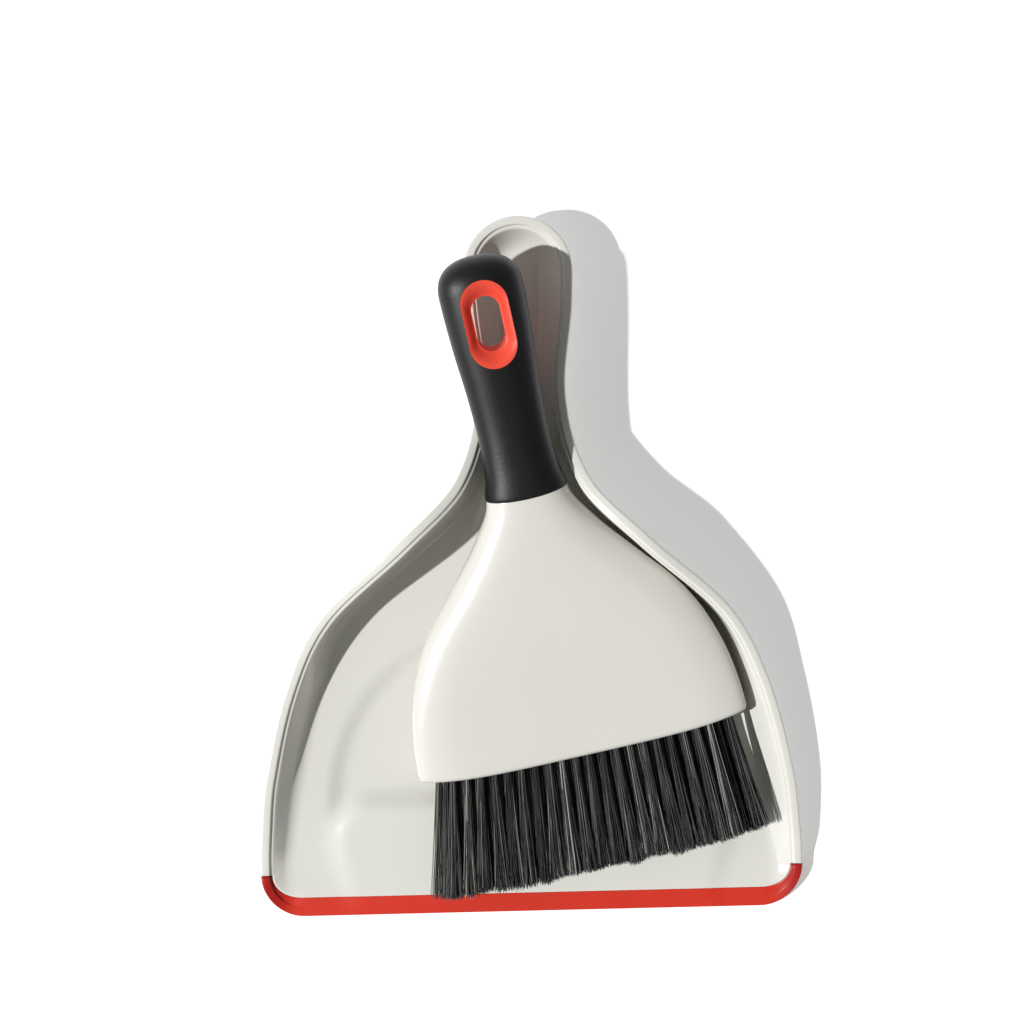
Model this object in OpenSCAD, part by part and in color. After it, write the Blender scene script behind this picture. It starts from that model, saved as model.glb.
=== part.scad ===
// Dust pan and brush set: the pan lies on the floor, the brush lies in it.
// +Z is up, +Y runs from the pan's lip to the end of its handle, X = 0 is the pan's centre line.
// "s" is a distance in mm from the front edge of the lip, measured along +Y.

/* [Pan] */
// Width of the pan behind its front corners
pan_w = 232; // [210:1:250]
// Length of the pan with its handle
pan_len = 297; // [285:1:310]
// Radius of the two front corners
corner_r = 18; // [17:0.5:20]
// Half the width of the pan's handle at its round end
handle_r = 23; // [21:0.5:25]
// Half the width of the pan's handle at its waist
waist_r = 19; // [18:0.5:21]
// Thickness of the pan's floor
floor_t = 2.2; // [1.8:0.1:3]

/* [Pan rim] */
// Width of the flat band on top of the rim
rim_band = 3.5; // [3:0.1:4.5]
// Height of the rim where the rubber lip ends
rim_front_z = 7; // [6:0.5:8]
// Height of the rim at the shoulders
rim_shoulder_z = 42.5; // [38:0.5:46]
// Height of the rim round the handle
rim_handle_z = 27; // [25:0.5:28]

/* [Pan floor] */
// Height of the entry ramp's crest
ramp_z = 6.4; // [4:0.1:7]
// Distance of the crest from the front edge
ramp_s = 44; // [40:1:48]
// Half the width of the ramp's flat part
ramp_half = 79; // [70:1:84]
// Width of the slope round the ramp
ramp_slope = 11.5; // [8:0.5:14]
// Height of the floor behind the dust well
rear_floor_z = 4.2; // [3:0.1:6]
// Height of the handle trough's floor
trough_z = 12.5; // [11:0.5:14]

/* [Lip] */
// Width of the rubber lip along the front edge
lip_w = 8; // [7:0.5:10]
// Width of the rubber lip where it ends on the rim
lip_end_w = 4.6; // [4:0.1:5]
// Height of the lip at its front edge
lip_front_z = 1.9; // [1.6:0.1:2.4]

/* [Brush head] */
// Length of the head from its lower edge to the grip
head_len = 111.8; // [108:0.1:116]
// Width of the head at its lower edge
head_w = 143; // [138:1:146]
// Width of the neck where it enters the grip
neck_w = 35; // [33:0.5:36]
// Thickness of the head at its lower edge
head_t = 17; // [17:0.5:19]
// Thickness of the neck
neck_t = 23; // [21:0.5:24]
// Wall thickness of the two head shells
shell_t = 2; // [1.6:0.1:2.4]
// Length of the neck's tang inside the grip
tang_len = 48; // [40:1:50]

/* [Grip] */
// Length of the rubber grip
grip_len = 102.1; // [98:0.1:108]
// Width of the grip at its widest
grip_w = 36; // [34:0.5:38]
// Thickness of the grip
grip_t = 26; // [24:0.5:27]
// Length of the hanging hole, inside the ring
hole_len = 23.5; // [20:0.5:25]
// Width of the hanging hole, inside the ring
hole_w = 12; // [9:0.5:13]
// Width of the ring's band at its sides
ring_band = 4; // [3:0.5:5]
// Width of the ring's band at its ends
ring_end_band = 7; // [5:0.5:8]
// Length of the grip's round top
grip_top_len = 15; // [12:0.5:18]

/* [Bristles] */
// Number of rows of tufts
tuft_rows = 4; // [4:1:4]
// Number of tufts in each of the two middle rows, with two fewer in the outer rows
tufts_per_row = 22; // [18:1:22]
// Free length of the bristles
bristle_len = 51; // [48:0.5:54]
// Distance between rows
row_pitch = 2.95; // [2.9:0.05:3]
// Radius of a tuft in its hole
tuft_r = 1.45; // [1.2:0.05:1.45]
// Radius of a tuft at its tips
tuft_tip_r = 2.1; // [1.6:0.1:2.1]
// Sideways lean of the bristles at the left end, degrees
lean_left = -12; // [-13:0.5:-8]
// Sideways lean of the bristles at the right end, degrees
lean_right = 2.5; // [2:0.5:8]

/* [Brush position] */
// Turn of the brush about the vertical, degrees
brush_turn = 11.4; // [10:0.1:12]
// Rise of the brush towards its grip, degrees
brush_rise = 10.3; // [10.2:0.1:10.8]
// Sideways place of the middle of the head's lower edge
brush_x = 23.2; // [22.5:0.1:24.5]
// Distance of the head's lower edge from the front edge
brush_s = 72.5; // [70:0.1:74]
// Height of the middle of the head's lower edge
brush_z = 14; // [13.6:0.1:15]

/* [Hidden] */

PAN_COLOR = "#e6e6e0";
RED = "#d8452f";
BLACK = "#1d1d1f";
BRISTLE = "#2a2a2c";
STEEL = "#b8b8b4";

half_w = pan_w / 2;
end_s = pan_len - handle_r;

// ---------------------------------------------------------------- curves

// A smooth curve through [position, value] points: it is level at its ends, and elsewhere
// a point's slope is that of the chord between its neighbours.
function segment_of(pts, p, i = 0) =
    (i >= len(pts) - 2 || p < pts[i + 1][0]) ? i : segment_of(pts, p, i + 1);
function chord(a, b) = (b[1] - a[1]) / (b[0] - a[0]);
function tangent(pts, i) =
    (i == 0 || i == len(pts) - 1) ? 0 : chord(pts[i - 1], pts[i + 1]);
function curve(pts, p) =
    let (
        i = segment_of(pts, p),
        run = pts[i + 1][0] - pts[i][0],
        t = (p - pts[i][0]) / run,
        t2 = t * t,
        t3 = t2 * t
    )
    (2 * t3 - 3 * t2 + 1) * pts[i][1] + (t3 - 2 * t2 + t) * run * tangent(pts, i)
    + (3 * t2 - 2 * t3) * pts[i + 1][1] + (t3 - t2) * run * tangent(pts, i + 1);
function mix(a, b, t) = a + (b - a) * t;
function clamp(v) = max(0, min(1, v));
function smooth(v) = let (t = clamp(v)) t * t * (3 - 2 * t);

// ---------------------------------------------------------------- pan shape

// Half the pan's width, from the front corner to the handle's round end
SIDE = [
    [corner_r, half_w], [34, half_w - 0.8], [60, half_w - 3.6], [100, half_w - 14], [130, half_w - 30],
    [160, 52.5], [185, 28.5], [220, waist_r], [258, handle_r - 0.6], [end_s, handle_r]
];
// Height of the rim
RIM = [
    [corner_r, rim_front_z], [32, 11.5], [60, 16], [100, 21], [130, 29.5],
    [162, rim_shoulder_z], [183, 38], [205, rim_handle_z + 2.3], [220, rim_handle_z + 0.3], [240, rim_handle_z], [end_s, rim_handle_z]
];
// How far inside the rim's outer edge the wall meets the floor
FOOT = [[corner_r, 11], [60, 12.5], [105, 11.5], [130, 7], [155, 5.6], [200, 8], [end_s, 11]];
// How much of the wall's height its rounded foot takes
ROUND = [[corner_r, 0.3], [140, 0.3], [200, 0.7], [end_s, 0.7]];

SIDE_STEP = 0.5;
function side_slope(s) =
    (curve(SIDE, s + SIDE_STEP) - curve(SIDE, s - SIDE_STEP)) / (2 * SIDE_STEP);

// The underside is flat as far as BASE_END, and then rises to the handle.
BASE_END = 140;
RISE_END = 205;
UNDER_GAP = 2.3;
// The dust well's back edge is half an ellipse.
WELL_S = 50;
WELL_HALF_W = 88;
WELL_LEN = 80;
WELL_SLOPE = 0.1;
RAMP_FOOT_HALF = 83;
RAMP_FULL_S = 30;
RAMP_CORNER = 10;

function underside_z(s) = (trough_z - UNDER_GAP) * smooth((s - BASE_END) / (RISE_END - BASE_END));
function well_edge(x, s) =
    norm([x / WELL_HALF_W, max(0, s - WELL_S) / WELL_LEN]);
function plain_floor_z(x, s) =
    mix(floor_t, rear_floor_z, smooth((well_edge(x, s) - 1 + WELL_SLOPE) / WELL_SLOPE) * smooth((s - 8) / 40))
    + (trough_z - rear_floor_z) * smooth((s - BASE_END) / (RISE_END - BASE_END));
// Distance outside the ramp's flat part, which has rounded rear corners
function ramp_outside(x, s) =
    let (
        taper = (ramp_half + ramp_slope - RAMP_FOOT_HALF) * (1 - smooth(s / RAMP_FULL_S)),
        dx = abs(x) - ramp_half + RAMP_CORNER + taper,
        ds = s - ramp_s + RAMP_CORNER
    )
    norm([max(0, dx), max(0, ds)]) - RAMP_CORNER;
function ramp_top_z(s) = mix(lip_front_z, ramp_z, clamp(s / ramp_s));
function floor_z(x, s) =
    let (on_ramp = 1 - smooth(ramp_outside(x, s) / ramp_slope))
    mix(mix(lip_front_z, plain_floor_z(x, s), smooth(s / 14)), ramp_top_z(s), on_ramp);

// A station is [x, s, inward x, inward s, wall], where wall runs from 0 on the front edge to 1 on the sides.
CORNER_STEPS = 6;
END_STEPS = 6;
COLUMNS = 20;
LIP_GAP = 0.4;
corner_x = half_w - corner_r;

function corner_station(a) =
    [corner_x + corner_r * cos(a), corner_r + corner_r * sin(a), -cos(a), -sin(a), smooth((a + 90) / 90)];
function side_station(s) =
    let (w = side_slope(s), n = norm([1, w]))
    [curve(SIDE, s), s, -1 / n, w / n, 1];
function end_station(a) = [handle_r * cos(a), end_s + handle_r * sin(a), -cos(a), -sin(a), 1];
function mirrored(p) = [-p[0], p[1], -p[2], p[3], p[4]];
// Place of column j across a row, from -1 to 1: closer together near the tray's walls, even in the handle
function column(j, s) =
    let (even = 2 * j / COLUMNS - 1)
    mix(sin(90 * even), even, smooth((s - BASE_END) / (RISE_END - BASE_END)));

TRAY_S = 62;
NECK_S = 206;
RIGHT = concat(
    [for (i = [0 : CORNER_STEPS]) corner_station(90 * i / CORNER_STEPS - 90)],
    [side_station(corner_r + LIP_GAP)],
    [for (i = [1 : 8]) side_station(mix(corner_r, TRAY_S, i / 8))],
    [for (i = [1 : 18]) side_station(mix(TRAY_S, NECK_S, i / 18))],
    [for (i = [1 : 7]) side_station(mix(NECK_S, end_s, i / 7))],
    [for (i = [1 : END_STEPS - 1]) end_station(90 * i / END_STEPS)]
);
ROWS = len(RIGHT);
STATIONS = concat(
    RIGHT,
    [end_station(90)],
    [for (i = [ROWS - 1 : -1 : 0]) mirrored(RIGHT[i])],
    [for (j = [1 : COLUMNS - 1]) [corner_x * column(j, 0), 0, 0, 1, 0]]
);
RING = len(STATIONS);
LEFT_FRONT = 2 * ROWS;

// A point at distance d inside a station, at height z
function at(st, d, z) = [st[0] + st[2] * d, st[1] + st[3] * d - pan_len / 2, z];
function floor_at(st, d) = floor_z(st[0] + st[2] * d, st[1] + st[3] * d);

FOOT_REACH = 4;
SKIRT = 4.2;
SKIRT_FLARE = 0.5;
RIM_T = 2.2;
LEDGE_DROP = 1.5;
LEDGE_IN = 5.2;
WALL_T = 2.2;
EDGE = 0.5;

// The section's outline at a station, as [distance inside the outer edge, height] pairs:
// the floor's edge, the rounded foot, the wall, the ledge, the rim, the skirt, then back underneath.
function rim_z(st) = st[4] < 1 ? mix(lip_front_z, rim_front_z, st[4]) : curve(RIM, min(st[1], end_s));
function foot_d(st) = st[4] < 1 ? 11 : curve(FOOT, min(st[1], end_s));
function band_d(st) = st[4] < 1 ? mix(lip_w, lip_end_w, st[4]) : (st[1] <= corner_r ? lip_end_w : LEDGE_IN);
function bezier(a, b, c, t) = (1 - t) * (1 - t) * a + 2 * t * (1 - t) * b + t * t * c;
function section(st) =
    let (
        q = st[4],
        h = rim_z(st),
        f = foot_d(st),
        band = band_d(st),
        zf = floor_at(st, f + FOOT_REACH),
        zu = underside_z(st[1] + st[3] * f),
        ledge = [band, h - LEDGE_DROP - EDGE],
        a = [f + FOOT_REACH, zf],
        b = [f, zf],
        c = mix(b, ledge, curve(ROUND, min(max(st[1], corner_r), end_s))),
        wall = [
            bezier(a, b, c, 0), bezier(a, b, c, 1 / 3), bezier(a, b, c, 2 / 3), c, ledge,
            [band * 0.85, h - LEDGE_DROP], [rim_band + 0.3, h - LEDGE_DROP], [rim_band, h - EDGE],
            [rim_band - EDGE, h], [0.8, h], [0.15, h - EDGE]
        ],
        skirt_z = max(0, h - SKIRT),
        // Rubber fills the space under the rim where the lip is.
        filled = q < 1 || st[1] <= corner_r,
        under = [
            [-SKIRT_FLARE * q, skirt_z + EDGE], [0.8, skirt_z], [1.5, filled ? skirt_z : h - RIM_T],
            [mix(band, max(rim_band - EDGE, band - WALL_T), q), filled ? skirt_z : h - RIM_T - LEDGE_DROP],
            [f - WALL_T, zu + 1.2 * q], [f - 0.8, zu], [f + FOOT_REACH, zu]
        ]
    )
    concat(
        [for (i = [0 : len(wall) - 1]) [
            wall[i][0],
            i == len(wall) - 1
                ? mix(lip_front_z - EDGE, wall[i][1], q)
                : mix(floor_at(st, wall[i][0]), wall[i][1], q)
        ]],
        under
    );
BAND = 4;
BAND_UNDER = 14;
LEVELS = 18;

// The lip is moulded round a tongue on the pan's edge: these are the tongue's points in place of the section's.
TONGUE_TIP = 2.2;
function tongue(sec) =
    let (
        top = sec[BAND][1],
        under = sec[BAND_UNDER][1],
        hi = mix(under, top, 0.65),
        lo = mix(under, top, 0.3),
        d = sec[BAND][0],
        under_d = sec[BAND_UNDER][0]
    )
    [
        [d, hi], [mix(d, TONGUE_TIP, 0.3), hi], [mix(d, TONGUE_TIP, 0.6), hi], [mix(d, TONGUE_TIP, 0.9), hi],
        [TONGUE_TIP, mix(lo, hi, 0.7)], [TONGUE_TIP, mix(lo, hi, 0.3)],
        [mix(under_d, TONGUE_TIP, 0.9), lo], [mix(under_d, TONGUE_TIP, 0.5), lo], [under_d, lo]
    ];
// A station has lip on it from one front corner round to the other.
function has_lip(n) = n <= CORNER_STEPS || n >= LEFT_FRONT - CORNER_STEPS;

SECTIONS = [for (st = STATIONS) section(st)];
TONGUES = [for (sec = SECTIONS) tongue(sec)];
function body_section(n) =
    !has_lip(n) ? SECTIONS[n]
    : concat(
        [for (c = [0 : BAND]) SECTIONS[n][c]],
        TONGUES[n],
        [for (c = [BAND_UNDER : LEVELS - 1]) SECTIONS[n][c]]
    );

// Index of the grid point in row i and column j of the floor, whose edges are ring points of one level
function grid_index(level, first, i, j) =
    j == COLUMNS ? level * RING + i
    : j == 0 ? level * RING + LEFT_FRONT - i
    : i == 0 ? level * RING + LEFT_FRONT + j
    : first + (i - 1) * (COLUMNS - 1) + j - 1;
function quad(a, b, c, d) = [[a, b, c], [a, c, d]];
function flat(lists) = [for (l = lists) for (v = l) v];

module pan_body() {
    body = [for (n = [0 : RING - 1]) body_section(n)];
    ring_pts = [
        for (c = [0 : LEVELS - 1]) for (n = [0 : RING - 1])
            at(STATIONS[n], body[n][c][0], body[n][c][1])
    ];
    top_pts = [
        for (i = [1 : ROWS - 1]) for (j = [1 : COLUMNS - 1])
            let (edge = ring_pts[i], s = edge[1] + pan_len / 2, x = edge[0] * column(j, s))
            [x, edge[1], floor_z(x, s)]
    ];
    under_pts = [
        for (i = [1 : ROWS - 1]) for (j = [1 : COLUMNS - 1])
            let (edge = ring_pts[(LEVELS - 1) * RING + i])
            [edge[0] * column(j, edge[1] + pan_len / 2), edge[1], edge[2]]
    ];
    first_top = len(ring_pts);
    first_under = first_top + len(top_pts);
    top_end = ROWS;
    under_end = (LEVELS - 1) * RING + ROWS;
    faces = concat(
        flat([
            for (c = [0 : LEVELS - 2]) for (n = [0 : RING - 1])
                let (m = (n + 1) % RING)
                quad(c * RING + n, c * RING + m, (c + 1) * RING + m, (c + 1) * RING + n)
        ]),
        flat([
            for (i = [0 : ROWS - 2]) for (j = [0 : COLUMNS - 1])
                quad(
                    grid_index(0, first_top, i, j), grid_index(0, first_top, i + 1, j),
                    grid_index(0, first_top, i + 1, j + 1), grid_index(0, first_top, i, j + 1)
                )
        ]),
        [
            for (j = [0 : COLUMNS - 1])
                [grid_index(0, first_top, ROWS - 1, j), top_end, grid_index(0, first_top, ROWS - 1, j + 1)]
        ],
        flat([
            for (i = [0 : ROWS - 2]) for (j = [0 : COLUMNS - 1])
                quad(
                    grid_index(LEVELS - 1, first_under, i, j), grid_index(LEVELS - 1, first_under, i, j + 1),
                    grid_index(LEVELS - 1, first_under, i + 1, j + 1), grid_index(LEVELS - 1, first_under, i + 1, j)
                )
        ]),
        [
            for (j = [0 : COLUMNS - 1])
                [
                    grid_index(LEVELS - 1, first_under, ROWS - 1, j),
                    grid_index(LEVELS - 1, first_under, ROWS - 1, j + 1), under_end
                ]
        ]
    );
    color(PAN_COLOR) polyhedron(concat(ring_pts, top_pts, under_pts), faces);
}

module pan_lip() {
    // Stations in order, from the left end round the front to the right end
    order = concat(
        [for (n = [LEFT_FRONT - CORNER_STEPS : RING - 1]) n],
        [for (n = [0 : CORNER_STEPS]) n]
    );
    loop = [
        for (n = order)
            concat(
                [for (c = [BAND : BAND_UNDER]) SECTIONS[n][c]],
                [for (c = [len(TONGUES[n]) - 1 : -1 : 0]) TONGUES[n][c]]
            )
    ];
    around = len(loop[0]);
    last = len(order) - 1;
    // The end caps join the outside to the tongue, whose points run the other way.
    outside = BAND_UNDER - BAND;
    function inside(i) = around - 1 - min(i, around - outside - 2);
    cap = flat([for (i = [0 : outside - 1])
        inside(i) == inside(i + 1) ? [[i, i + 1, inside(i)]] : quad(i, i + 1, inside(i + 1), inside(i))]);
    pts = [
        for (k = [0 : last]) for (p = loop[k]) at(STATIONS[order[k]], p[0], p[1])
    ];
    faces = concat(
        flat([
            for (k = [0 : last - 1]) for (c = [0 : around - 1])
                let (e = (c + 1) % around)
                quad(k * around + c, (k + 1) * around + c, (k + 1) * around + e, k * around + e)
        ]),
        cap,
        [for (f = cap) [for (v = [2 : -1 : 0]) last * around + f[v]]]
    );
    color(RED) polyhedron(pts, faces);
}

// ---------------------------------------------------------------- brush shape

// In the brush's own frame y = 0 is the head's lower edge, +y runs to the grip and +z is its front.
module in_pan() {
    translate([brush_x, brush_s - pan_len / 2, brush_z])
        rotate([0, 0, brush_turn])
            rotate([brush_rise, 0, 0])
                children();
}

// Half the head's width and half its thickness, from the lower edge to the neck
HEAD_W = [
    [0, head_w / 2], [16, head_w / 2 - 1.1], [31, head_w / 2 - 4], [47, head_w / 2 - 9.7],
    [62, head_w / 2 - 18.2], [79, head_w / 2 - 32.4], [96, neck_w / 2 + 8], [head_len, neck_w / 2]
];
HEAD_T = [[0, head_t / 2], [20, head_t / 2], [90, neck_t / 2 - 0.5], [head_len, neck_t / 2]];
TANG_HALF_W = 10.5;
TANG_HALF_T = 7.5;
EDGE_BOW = 3.4;
SHELL_STEPS = 24;
SIDES = 48;
// How full the section is, from 2 for an ellipse upwards: the head is boxier at its lower edge
GRIP_FULL = 2.6;
HEAD_FULL = [[0, 6], [16, 5.6], [60, 3.4], [head_len, GRIP_FULL]];

// A rounded section, fuller than an ellipse, as points from the right edge over the front to the left edge and back
function bulge(v, n) = sign(v) * pow(abs(v), 2 / n);
function around_pt(a, hw, ht, n) = [hw * bulge(cos(a), n), ht * bulge(sin(a), n)];
// The head's lower edge is bowed: it reaches furthest down at its middle.
function bow(x, y) = y - EDGE_BOW * (1 - pow(x / (head_w / 2), 4)) * (1 - clamp(y / 40));

HEAD_Y = [for (i = [0 : SHELL_STEPS]) head_len * i / SHELL_STEPS];
// [y, half width, half thickness, fullness] of the outside and the inside of the head with its tang
OUTER = concat(
    [for (y = HEAD_Y) [y, curve(HEAD_W, y), curve(HEAD_T, y), curve(HEAD_FULL, y)]],
    [for (y = [head_len, head_len + tang_len]) [y, TANG_HALF_W, TANG_HALF_T, GRIP_FULL]]
);
INNER = concat(
    [for (y = HEAD_Y) let (v = y * (head_len - shell_t) / head_len)
        [v, curve(HEAD_W, v) - shell_t, curve(HEAD_T, v) - shell_t, curve(HEAD_FULL, v)]],
    [for (y = [head_len - shell_t, head_len + tang_len])
        [y, TANG_HALF_W - shell_t, TANG_HALF_T - shell_t, GRIP_FULL]]
);
function head_pt(k, a) =
    let (p = around_pt(a, k[1], k[2], k[3]))
    [p[0], bow(p[0], k[0]), p[1]];

// One half of the head, over angles from a0 to a0 + 180 degrees
module half_shell(a0) {
    half = SIDES / 2;
    rows = len(OUTER);
    angles = [for (i = [0 : half]) a0 + 180 * i / half];
    outer = [for (k = OUTER) for (a = angles) head_pt(k, a)];
    inner = [for (k = INNER) for (a = angles) head_pt(k, a)];
    w = half + 1;
    shift = len(outer);
    faces = concat(
        flat([for (r = [0 : rows - 2]) for (i = [0 : half - 1])
            quad(r * w + i, r * w + i + 1, (r + 1) * w + i + 1, (r + 1) * w + i)]),
        flat([for (r = [0 : rows - 2]) for (i = [0 : half - 1])
            quad(shift + r * w + i, shift + (r + 1) * w + i, shift + (r + 1) * w + i + 1, shift + r * w + i + 1)]),
        flat([for (r = [0 : rows - 2])
            quad(r * w, (r + 1) * w, shift + (r + 1) * w, shift + r * w)]),
        flat([for (r = [0 : rows - 2])
            quad(r * w + half, shift + r * w + half, shift + (r + 1) * w + half, (r + 1) * w + half)]),
        flat([for (i = [0 : half - 1])
            quad(i, shift + i, shift + i + 1, i + 1)]),
        flat([for (i = [0 : half - 1])
            let (r = (rows - 1) * w)
            quad(r + i, r + i + 1, shift + r + i + 1, shift + r + i)])
    );
    polyhedron(concat(outer, inner), faces);
}

module head_front_shell() {
    color(PAN_COLOR) in_pan() half_shell(0);
}

module head_back_shell() {
    color(PAN_COLOR) in_pan() half_shell(180);
}

// A solid lofted through closed sections of equal length
module loft(rings) {
    w = len(rings[0]);
    last = len(rings) - 1;
    faces = concat(
        flat([for (r = [0 : last - 1]) for (i = [0 : w - 1])
            let (e = (i + 1) % w)
            quad(r * w + i, r * w + e, (r + 1) * w + e, (r + 1) * w + i)]),
        [[for (i = [w - 1 : -1 : 0]) i]],
        [[for (i = [0 : w - 1]) last * w + i]]
    );
    polyhedron(flat(rings), faces);
}

BLOCK_ROWS = 3;
HOLE_DEPTH = 11;
STAPLE_H = 1.4;
STAPLE_T = 0.4;
BLOCK_INSET = 0.05;
TUFT_SIDES = 10;
// Length over which a tuft bends up in front of its hole, to lie level on the ramp
TUFT_BEND = 8;
// Half the length of a row of tufts, between the outer tufts' centres
row_half = head_w / 2 - shell_t - 6.5;

function block_ring(k) =
    [for (i = [0 : SIDES - 1])
        head_pt([k[0], k[1] - BLOCK_INSET, k[2] - BLOCK_INSET, k[3]], 360 * i / SIDES)];

// The tufts of a row, counted from the left: the two outer rows go without their end tufts,
// because the head is rounded there. Odd rows sit half a pitch to the side.
tuft_pitch = 2 * row_half / (tufts_per_row - 0.5);
function tufts(row) = row == 1 || row == tuft_rows ? [1 : tufts_per_row - 2] : [0 : tufts_per_row - 1];
function tuft_x(row, i) = -row_half + tuft_pitch * (i + (row % 2) / 2);
function row_z(row) = (row - (tuft_rows + 1) / 2) * row_pitch;
function tuft_lean(x) = mix(lean_left, lean_right, (x + row_half) / (2 * row_half));

// The frame of a tuft: its hole's mouth is at the origin, its free part points along +z and +y is the head's front.
module at_tuft(row, i) {
    x = tuft_x(row, i);
    translate([x, bow(x, 0), row_z(row)])
        rotate([90, 0, tuft_lean(x)])
            children();
}

module bristle_block() {
    color(PAN_COLOR) in_pan() difference() {
        loft([for (r = [0 : BLOCK_ROWS]) block_ring(INNER[r])]);
        for (row = [1 : tuft_rows]) for (i = tufts(row))
            at_tuft(row, i)
                translate([0, 0, -HOLE_DEPTH])
                    cylinder(r = tuft_r, h = HOLE_DEPTH + EDGE_BOW, $fn = TUFT_SIDES);
    }
}

// A tuft's places from its tips to its root: [distance up, distance out, tilt, radius]
TUFT_OUT = 0.3;
TUFT_ARC = TUFT_BEND * 180 / PI / brush_rise;
TUFT_PATH = concat(
    [[
        TUFT_ARC * (1 - cos(brush_rise)) + (bristle_len - TUFT_BEND) * sin(brush_rise),
        TUFT_OUT + TUFT_ARC * sin(brush_rise) + (bristle_len - TUFT_BEND) * cos(brush_rise),
        brush_rise, tuft_tip_r
    ]],
    [for (k = [2 : -1 : 0])
        let (a = brush_rise * k / 2)
        [TUFT_ARC * (1 - cos(a)), TUFT_OUT + TUFT_ARC * sin(a), a,
            mix(tuft_r, tuft_tip_r, TUFT_BEND * k / 2 / bristle_len)]],
    [[0, STAPLE_H - HOLE_DEPTH, 0, tuft_r]]
);

// A tuft: a straight root in its hole and a free part that bends up and spreads towards its tips
module tuft_row(row) {
    color(BRISTLE) in_pan()
        for (i = tufts(row)) at_tuft(row, i)
            loft([for (p = TUFT_PATH)
                [for (n = [0 : TUFT_SIDES - 1])
                    let (a = 360 * n / TUFT_SIDES, up = p[3] * sin(a))
                    [p[3] * cos(a), p[0] + up * cos(p[2]), p[1] - up * sin(p[2])]]]);
}

module tuft_row_1() { tuft_row(1); }
module tuft_row_2() { tuft_row(2); }
module tuft_row_3() { tuft_row(3); }
module tuft_row_4() { tuft_row(4); }

// The flat wire anchors that hold the tufts, at the bottoms of their holes
module staple_row(row) {
    color(STEEL) in_pan()
        for (i = tufts(row)) at_tuft(row, i)
            translate([0, 0, STAPLE_H / 2 - HOLE_DEPTH])
                cube([tuft_r * 1.7, STAPLE_T, STAPLE_H - 0.02], center = true);
}

module staple_row_1() { staple_row(1); }
module staple_row_2() { staple_row(2); }
module staple_row_3() { staple_row(3); }
module staple_row_4() { staple_row(4); }

// ---------------------------------------------------------------- grip

// Half the grip's width, from its lower end to the start of its round top
GRIP_W = [[0, 17.8], [9, 16], [25, 15], [45, 15.7], [65, 17.2], [grip_len - grip_top_len, grip_w / 2]];
GRIP_T = [[0, 12], [14, 11.3], [32, 11.3], [55, 12.2], [grip_len - grip_top_len, grip_t / 2]];
GRIP_STEPS = 12;
TOP_STEPS = 7;
TOP_FULL = 2.4;
TOP_END = 0.985;
hole_y = head_len + 73.9;

function grip_ring(y, hw, ht) =
    [for (i = [0 : SIDES - 1])
        let (p = around_pt(360 * i / SIDES, hw, ht, GRIP_FULL))
        [p[0], y, p[1]]];
grip_straight = grip_len - grip_top_len;
// How wide the round top still is, at t from 0 where it starts to 1 at its end
function top_share(t) = pow(1 - pow(t, TOP_FULL), 1 / TOP_FULL);
GRIP_RINGS = concat(
    [for (i = [0 : GRIP_STEPS])
        let (y = grip_straight * i / GRIP_STEPS)
        grip_ring(head_len + y, curve(GRIP_W, y), curve(GRIP_T, y))],
    [for (i = [1 : TOP_STEPS])
        let (t = TOP_END * sin(90 * i / TOP_STEPS), share = top_share(t))
        grip_ring(head_len + grip_straight + grip_top_len * t, grip_w / 2 * share, grip_t / 2 * share)]
);
TANG_RINGS = [
    for (k = [len(OUTER) - 2, len(OUTER) - 1])
        [for (i = [0 : SIDES - 1]) head_pt(OUTER[k], 360 * i / SIDES)]
];

// A rounded slot through the grip, seen from the front
module slot(len_y, w, h) {
    linear_extrude(height = h, center = true) {
        square([w, len_y - w], center = true);
        for (side = [-1, 1])
            translate([0, side * (len_y - w) / 2])
                circle(d = w, $fn = 64);
    }
}

module grip_sleeve() {
    // The tang's socket starts a little outside the grip, so that its mouth is open.
    socket = [
        [for (p = TANG_RINGS[0]) p - [0, 1, 0]],
        TANG_RINGS[1]
    ];
    color(BLACK) in_pan() difference() {
        loft(GRIP_RINGS);
        loft(socket);
        translate([0, hole_y, 0])
            slot(hole_len + 2 * ring_end_band, hole_w + 2 * ring_band, 2 * grip_t);
    }
}

RING_INSET = 1.6;
module hang_ring() {
    color(RED) in_pan() translate([0, hole_y, 0]) difference() {
        slot(hole_len + 2 * ring_end_band, hole_w + 2 * ring_band, grip_t - 2 * RING_INSET);
        slot(hole_len, hole_w, 2 * grip_t);
    }
}

pan_body();
pan_lip();
head_front_shell();
head_back_shell();
bristle_block();
tuft_row_1();
tuft_row_2();
tuft_row_3();
tuft_row_4();
staple_row_1();
staple_row_2();
staple_row_3();
staple_row_4();
grip_sleeve();
hang_ring();
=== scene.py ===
import math

import bpy
import numpy as np
from mathutils import Matrix, Vector


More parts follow.
